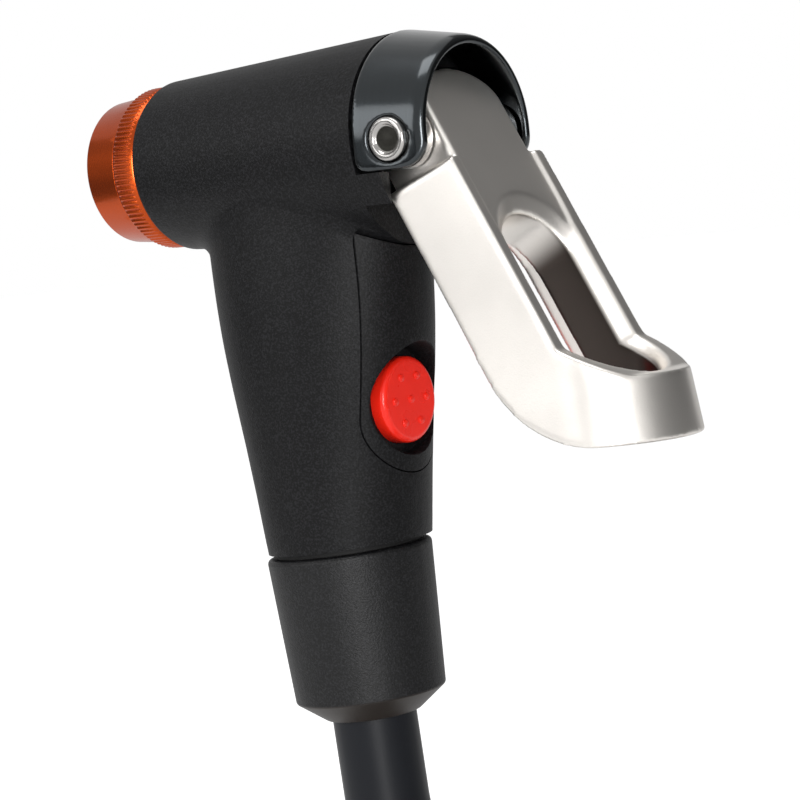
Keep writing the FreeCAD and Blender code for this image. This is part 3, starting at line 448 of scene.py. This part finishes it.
def slot_shade_share(paint):
    """1 where shade is painted on the walls of the lever's slot, and 0 on the rest of the lever.
    """
    x, y, z = paint.axes()
    across, up = x - pivot_x, z - pivot_z
    along = across * math.sin(lever_lean) - up * math.cos(lever_lean)
    above = across * math.cos(lever_lean) + up * math.sin(lever_lean)
    beyond = (x - slot_end_x).larger(0.0)
    from_middle = (beyond * beyond + y * y).root()
    inside = 1.0 - from_middle.step(*slot_wall)
    upper = along.step(*slot_top) * (1.0 - above.step(*slot_height))
    foot = x.step(*foot_front) * (1.0 - (z + x * foot_slope).step(*foot_height))
    return inside * upper.larger(foot)


def satin_nickel():
    metals = looks().metals
    paint = Paint("satin_nickel", metallic=1.0)
    cloud, tone = paint.clouded(metals.lever_colour, 0.009, 0.97, 1.03)
    blast = paint.noise(0.00022, roughness=0.6)
    tone = paint.mix(blast.step(0.55, 0.8) * 0.3, tone, shade(metals.lever_colour, 0.85))
    # The slot's walls are darkened with painted shade
    tone = paint.mix(slot_shade_share(paint), tone, metals.slot_shade_colour)
    roughness = metals.lever_roughness - 0.04 + cloud * 0.08
    return paint.finish(tone, roughness, paint.bump(blast, 0.000009))


def polished_steel():
    metals = looks().metals
    paint = Paint("polished_steel", metallic=1.0)
    haze, tone = paint.clouded(metals.pin_colour, 0.0011, 0.95, 1.04)
    x, y, z = paint.axes()
    across, up = x - pivot_x, z - pivot_z
    # The pin's sunk middle inside its rim is painted dark: painted shade in the recess
    rim = (across * across + up * up).root().step(*pin_rim)
    tone = paint.mix(rim, metals.recess_shade_colour, tone)
    normal = paint.bump(paint.noise(0.0004, detail=2.0), 0.000004)
    return paint.finish(tone, 0.12 + haze * 0.12, normal)


def gloss_red():
    paint = Paint("gloss_red_plastic", specular=0.25, coat=0.35)
    cloud, tone = paint.clouded(looks().plastics.button_colour, 0.003, 0.94, 1.05, detail=2.0)
    normal = paint.bump(paint.noise(0.0006, detail=2.0), 0.000006)
    return paint.finish(tone, 0.24 + cloud * 0.08, normal)


def satin_hose():
    paint = Paint("satin_hose_rubber", specular=0.22)
    cloud, tone = paint.clouded(looks().plastics.hose_colour, 0.006, 0.9, 1.15)
    normal = paint.bump(paint.noise(0.00025), 0.000006)
    return paint.finish(tone, 0.36 + cloud * 0.1, normal)


def seal_rubber():
    paint = Paint("seal_rubber", specular=0.35)
    cloud, tone = paint.clouded(looks().plastics.seal_colour, 0.0015, 0.8, 1.3)
    normal = paint.bump(paint.noise(0.0003, detail=2.0), 0.00001)
    return paint.finish(tone, 0.6 + cloud * 0.15, normal)


def turned_metal(name, colour):
    paint = Paint(name, metallic=1.0)
    x, y, z = paint.axes()
    rings = paint.noise(0.00008, detail=2.0, place=paint.vector(x, 0.0, 0.0))
    cloud, tone = paint.clouded(colour, 0.003, 0.88, 1.06)
    return paint.finish(tone, 0.22 + cloud * 0.12, paint.bump(rings, 0.0000015))


def dress(piece, material):
    piece.data.materials.clear()
    piece.data.materials.append(material)


# Shapes

def link_piece(name, data, body, material):
    piece = bpy.data.objects.new(name, data)
    bpy.context.scene.collection.objects.link(piece)
    dress(piece, material)
    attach(piece, body)
    return piece


def joined_copy(node):
    """The node's faces as one welded mesh, with its flat faces whole again."""
    mesh = bmesh.new()
    mesh.from_mesh(nodes[node].data)
    bmesh.ops.remove_doubles(mesh, verts=mesh.verts, dist=weld_distance)
    bmesh.ops.dissolve_limit(mesh, angle_limit=flat_angle, verts=mesh.verts, edges=mesh.edges)
    return mesh


def smooth_data(mesh, name, crease=crease_angle):
    for face in mesh.faces:
        face.smooth = True
    data = bpy.data.meshes.new(name)
    mesh.to_mesh(data)
    mesh.free()
    data.set_sharp_from_angle(angle=crease)
    return data


def softened_piece(name, node, body, material, width, degrees, segments=2):
    """A welded copy of a node with its edges rounded, which stands for the node."""
    mesh = joined_copy(node)
    sharp = [edge for edge in mesh.edges
             if len(edge.link_faces) == 2 and edge.calc_face_angle() > math.radians(degrees)]
    bmesh.ops.bevel(mesh, geom=sharp, offset=width, affect="EDGES", segments=segments,
                    profile=0.5, material=-1, clamp_overlap=True, loop_slide=True)
    piece = link_piece(name, smooth_data(mesh, name), body, material)
    weigh = piece.modifiers.new("even_shading", "WEIGHTED_NORMAL")
    weigh.keep_sharp = True
    weigh.weight = 60
    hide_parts(node)
    return piece


def even_copy(node, grid):
    """A copy of a node in small even faces."""
    data = smooth_data(joined_copy(node), node + "_even", no_crease)
    holder = bpy.data.objects.new(node + "_even", data)
    bpy.context.scene.collection.objects.link(holder)
    even = holder.modifiers.new("even_mesh", "REMESH")
    even.mode = "VOXEL"
    even.voxel_size = grid
    mesh = bmesh.new()
    mesh.from_object(holder, bpy.context.evaluated_depsgraph_get())
    bpy.data.objects.remove(holder)
    bpy.data.meshes.remove(data)
    return mesh


def ease_flare(mesh):
    """Turn the crease where the lever's flanks begin to flare into a long soft curve."""
    for vert in mesh.verts:
        below = flare_start - vert.co.z
        if abs(vert.co.y) > flank_half_width and abs(below) < flare_reach:
            rounded = (below + flare_reach) ** 2 / (4 * flare_reach)
            outward = flare_slope * (rounded - max(0.0, below))
            vert.co.y += math.copysign(outward, vert.co.y)


def cast_piece(name, node, mesh, body, material, passes):
    """A node's even copy with its edges and corners rounded off like a casting's."""
    for _ in range(passes):
        bmesh.ops.smooth_vert(mesh, verts=mesh.verts, factor=0.5,
                              use_axis_x=True, use_axis_y=True, use_axis_z=True)
    piece = link_piece(name, smooth_data(mesh, name, no_crease), body, material)
    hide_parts(node)
    return piece


def eased(share):
    """A share from 0 to 1 that starts and ends softly."""
    share = min(1.0, max(0.0, share))
    return share * share * (3.0 - 2.0 * share)


class InflatorOperator(bpy.types.Operator):
    bl_options = {"REGISTER", "UNDO"}


class INFLATOR_OT_hose(InflatorOperator):
    """Make the hose, its stored coil and the fitting at its end"""
    bl_idname = "inflator.make_hose"
    bl_label = "Hose"

    def execute(self, context):
        hose = looks().hose
        upper = -looks().stage.floor_height + hose.radius + hose.layer_step
        down = Vector((math.sin(hose_lean), 0.0, -math.cos(hose_lean)))
        start = Vector((hose_x, 0.0, 0.0)) + down * hose_start
        inner_x = coil_centre_x - 2 * hose.radius
        points = [
            start,
            start + down * hose_straight,
            start + down * hose_bend,
            Vector(hose_lowest_bend),
            Vector((hose_landing_x, 0.0, upper)),
            Vector((inner_x, 0.0, upper)),
        ]
        points += self.coil_points(hose, upper)
        points.append(Vector((inner_x, points[-1].y, points[-1].z)))
        curve = bpy.data.curves.new("hose", "CURVE")
        curve.dimensions = "3D"
        curve.bevel_depth = hose.radius
        curve.bevel_resolution = 9
        curve.resolution_u = 8
        curve.use_fill_caps = True
        line = curve.splines.new("NURBS")
        line.points.add(len(points) - 1)
        for point, place in zip(line.points, points):
            point.co = (*place, 1.0)
        line.order_u = 3
        line.use_endpoint_u = True
        line.use_smooth = True
        piece = link_piece("hose", curve, "head", satin_hose())
        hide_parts("hose_drop", "hose_coil")
        fittings = [nodes[name] for name in ("end_ferrule", "end_fitting", "end_seal")]
        dress(fittings[0], polished_steel())
        dress(fittings[1], turned_metal("turned_brass_fitting", looks().metals.brass_colour))
        dress(fittings[2], seal_rubber())
        return {"FINISHED"}

    def coil_points(self, hose, upper):
        """The upper layer winds in, drops where it reverses, and the lower layer winds out."""
        centre_y = hose.coil_radius
        count = hose.points_per_turn
        total = 2 * hose.turns + coil_reversal
        # The fitting's hexagon lies on a corner, so the hose's end is lifted to its middle
        lift = fitting_flats / math.sqrt(3.0) - hose.radius
        points = []
        for i in range(int(round(total * count))):
            turns = (i + 0.5) / count
            outward = max(0.0, turns - hose.turns - coil_reversal)
            inward = min(turns, hose.turns)
            radius = hose.coil_radius - hose.turn_step * (inward - outward)
            radius /= math.cos(math.pi / count)
            drop = hose.layer_step * eased((turns - hose.turns) / coil_reversal)
            rise = lift * eased((turns - total + coil_rise) / coil_rise)
            turn = 2 * math.pi * turns - math.pi / 2
            points.append(Vector((coil_centre_x + radius * math.cos(turn),
                                  centre_y + radius * math.sin(turn),
                                  upper - drop + rise)))
        points[0].y = 0.0
        points[-1].y = centre_y + hose.coil_radius
        points[-1].z = upper - hose.layer_step + lift
        return points


class INFLATOR_OT_body(InflatorOperator):
    """Dress the grained black head and its rear cover"""
    bl_idname = "inflator.make_body"
    bl_label = "Head and rear cover"

    def execute(self, context):
        width = looks().edges.body
        plastic = grained_plastic()
        softened_piece("head_shell", "head_body", "head", plastic, width, 35.0)
        softened_piece("rear_cover_shell", "rear_cover", "head", plastic,
                       width, 35.0)
        return {"FINISHED"}


class INFLATOR_OT_collar(InflatorOperator):
    """Dress the knurled orange collar"""
    bl_idname = "inflator.make_collar"
    bl_label = "Valve collar"

    def execute(self, context):
        softened_piece("collar_ring", "valve_collar", "collar",
                       anodised_orange(), looks().edges.collar, 25.0)
        return {"FINISHED"}


class INFLATOR_OT_hood(InflatorOperator):
    """Dress the hood over the pivot, its pin and screw"""
    bl_idname = "inflator.make_hood"
    bl_label = "Hood and pivot pin"

    def execute(self, context):
        edges = looks().edges
        mesh = even_copy("lever_hood", edges.hood_grid)
        cast_piece("hood_shell", "lever_hood", mesh, "head",
                   anodised_black(), edges.hood_passes)
        steel = polished_steel()
        softened_piece("pin_head", "pivot_pin", "head", steel, edges.pin, 25.0)
        softened_piece("pin_screw_head", "pin_screw", "head", steel, edges.pin, 25.0)
        return {"FINISHED"}


class INFLATOR_OT_lever(InflatorOperator):
    """Dress the cam lever in satin nickel"""
    bl_idname = "inflator.make_lever"
    bl_label = "Cam lever"

    def execute(self, context):
        edges = looks().edges
        mesh = even_copy("cam_lever", edges.lever_grid)
        ease_flare(mesh)
        cast_piece("lever_casting", "cam_lever", mesh, "lever",
                   satin_nickel(), edges.lever_passes)
        return {"FINISHED"}


class INFLATOR_OT_button(InflatorOperator):
    """Dress the red bleed button"""
    bl_idname = "inflator.make_button"
    bl_label = "Bleed button"

    def execute(self, context):
        softened_piece("bleed_button_cap", "bleed_button", "bleed",
                       gloss_red(), looks().edges.button, 30.0)
        return {"FINISHED"}


class INFLATOR_OT_nut(InflatorOperator):
    """Dress the nut that holds the hose"""
    bl_idname = "inflator.make_nut"
    bl_label = "Hose nut"

    def execute(self, context):
        softened_piece("hose_nut_shell", "hose_nut", "head",
                       nut_plastic(), looks().edges.nut, 25.0, segments=3)
        return {"FINISHED"}


class INFLATOR_OT_inner_parts(InflatorOperator):
    """Dress the parts that lie inside the head"""
    bl_idname = "inflator.make_inner_parts"
    bl_label = "Inner parts"

    def execute(self, context):
        metals = looks().metals
        brass = turned_metal("turned_brass", metals.brass_colour)
        steel = turned_metal("plain_steel", metals.steel_colour)
        pale = turned_metal("turned_aluminium", shade(metals.steel_colour, 1.3))
        rubber = seal_rubber()
        inner = {
            brass: ("slip_washer", "core_pin", "bleed_seat", "hose_barb"),
            steel: ("cam_follower", "pivot_washers", "bleed_stem"),
            pale: ("plunger", "hose_ferrule"),
            rubber: ("valve_grommet", "plunger_seals", "bleed_seal", "nut_washer", "barb_seal"),
        }
        for material, names in inner.items():
            for name in names:
                dress(nodes[name], material)
        self.return_spring(context, steel)
        return {"FINISHED"}

    def return_spring(self, context, steel):
        """The spring behind the button, welded and left where it stands."""
        data = smooth_data(joined_copy("bleed_spring"), "return_spring")
        spring = bpy.data.objects.new("return_spring", data)
        context.scene.collection.objects.link(spring)
        dress(spring, steel)
        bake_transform(spring)
        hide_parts("bleed_spring")


class INFLATOR_OT_stage(InflatorOperator):
    """Set up the floor, the soft lamps and the camera"""
    bl_idname = "inflator.make_stage"
    bl_label = "Floor, lamps and camera"

    def execute(self, context):
        scene = context.scene
        scene.view_settings.view_transform = "Standard"
        self.floor(scene)
        for softbox in softboxes:
            self.lamp(scene, *softbox)
        for flag in flags:
            self.flag(scene, *flag)
        self.world(scene)
        self.camera(scene)
        return {"FINISHED"}

    def sheet(self, scene, name, size, turn, place, material):
        """A flat sheet of the stage, turned and then put in its place."""
        mesh = bmesh.new()
        bmesh.ops.create_grid(mesh, x_segments=1, y_segments=1, size=0.5)
        bmesh.ops.scale(mesh, verts=mesh.verts, vec=(*size, 1.0))
        bmesh.ops.rotate(mesh, verts=mesh.verts, matrix=turn)
        bmesh.ops.translate(mesh, verts=mesh.verts, vec=place)
        data = bpy.data.meshes.new(name)
        mesh.to_mesh(data)
        mesh.free()
        data.materials.append(material)
        sheet = bpy.data.objects.new(name, data)
        scene.collection.objects.link(sheet)
        return sheet

    def floor(self, scene):
        stage = looks().stage
        paint = Paint("pale_floor", specular=0.1)
        cloud, tone = paint.clouded(stage.floor_colour, 0.4, 0.99, 1.0, detail=2.0)
        paint.glow(paint.seen(floor_mirrored) * floor_glow)
        self.sheet(scene, "floor", (floor_width, floor_width), Matrix.Identity(3),
                   (0.0, 0.0, -stage.floor_height), paint.finish(tone, 0.9))

    def lamp(self, scene, name, direction, distance, size, power):
        data = bpy.data.lights.new(name, "AREA")
        data.shape = "RECTANGLE"
        data.size, data.size_y = size
        data.energy = power
        lamp = bpy.data.objects.new(name, data)
        way = Vector(direction).normalized()
        lamp.location = head_middle + way * distance
        lamp.rotation_mode = "QUATERNION"
        lamp.rotation_quaternion = way.to_track_quat("Z", "Y")
        scene.collection.objects.link(lamp)

    def flag(self, scene, name, direction, distance, size, grey):
        """A dark panel out of view, which only reflections show."""
        paint = Paint(name, specular=0.0)
        paint.glow(grey)
        way = Vector(direction).normalized()
        flag = self.sheet(scene, name, size, way.to_track_quat("Z", "Y").to_matrix(),
                          head_middle + way * distance, paint.finish((0.0, 0.0, 0.0), 0.5))
        flag.visible_camera = False
        flag.visible_diffuse = False
        flag.visible_transmission = False
        flag.visible_shadow = False

    def world(self, scene):
        """White where the camera looks, greyer in reflections, and soft light elsewhere."""
        world = bpy.data.worlds.new("studio")
        world.use_nodes = True
        recipe = Recipe(world.node_tree)
        strength = recipe.seen(room_mirrored) * (1.0 - room_light) + room_light
        light = recipe.node("ShaderNodeBackground", {
            "Color": (1.0, 1.0, 1.0), "Strength": strength,
        })
        recipe.node("ShaderNodeOutputWorld", {
            "Surface": Field(recipe, light.outputs["Background"]),
        })
        scene.world = world

    def camera(self, scene):
        data = bpy.data.cameras.new("camera")
        data.sensor_width = 36.0
        data.lens = looks().stage.focal_length
        data.clip_start, data.clip_end = 0.01, 50.0
        camera = bpy.data.objects.new("camera", data)
        level = Vector((math.cos(camera_azimuth), math.sin(camera_azimuth), 0.0))
        back = Vector((math.sin(camera_azimuth) * math.cos(camera_elevation),
                       -math.cos(camera_azimuth) * math.cos(camera_elevation),
                       math.sin(camera_elevation)))
        upright = back.cross(level)
        right = level * math.cos(camera_roll) - upright * math.sin(camera_roll)
        up = level * math.sin(camera_roll) + upright * math.cos(camera_roll)
        place = back * camera_back + right * camera_right - up * camera_down
        turn = Matrix((right, up, back)).transposed().to_4x4()
        camera.matrix_world = Matrix.Translation(place) @ turn
        scene.collection.objects.link(camera)
        scene.camera = camera


class INFLATOR_PT_panel(bpy.types.Panel):
    """Sizes, colours and pieces of the inflator's head"""
    bl_idname = "INFLATOR_PT_panel"
    bl_label = "Tire Inflator Head"
    bl_space_type = "VIEW_3D"
    bl_region_type = "UI"
    bl_category = "Inflator"

    def draw(self, context):
        for operator in operators:
            self.layout.operator(operator.bl_idname)
        for group in InflatorLooks.__annotations__:
            box = self.layout.box()
            box.label(text=group.capitalize())
            settings = getattr(looks(), group)
            for name in settings.__annotations__:
                box.prop(settings, name)


operators = (
    INFLATOR_OT_stage, INFLATOR_OT_hose, INFLATOR_OT_body, INFLATOR_OT_collar,
    INFLATOR_OT_hood, INFLATOR_OT_lever, INFLATOR_OT_button, INFLATOR_OT_nut,
    INFLATOR_OT_inner_parts,
)
groups = (InflatorPlastics, InflatorMetals, InflatorEdges, InflatorHose, InflatorStage,
          InflatorLooks)


def register():
    for made in groups + operators + (INFLATOR_PT_panel,):
        bpy.utils.register_class(made)
    bpy.types.Scene.inflator = PointerProperty(type=InflatorLooks)


def unregister():
    del bpy.types.Scene.inflator
    for made in reversed(groups + operators + (INFLATOR_PT_panel,)):
        bpy.utils.unregister_class(made)


def main():
    register()
    for operator in operators:
        family, name = operator.bl_idname.split(".")
        getattr(getattr(bpy.ops, family), name)()


if __name__ == "__main__":
    main()
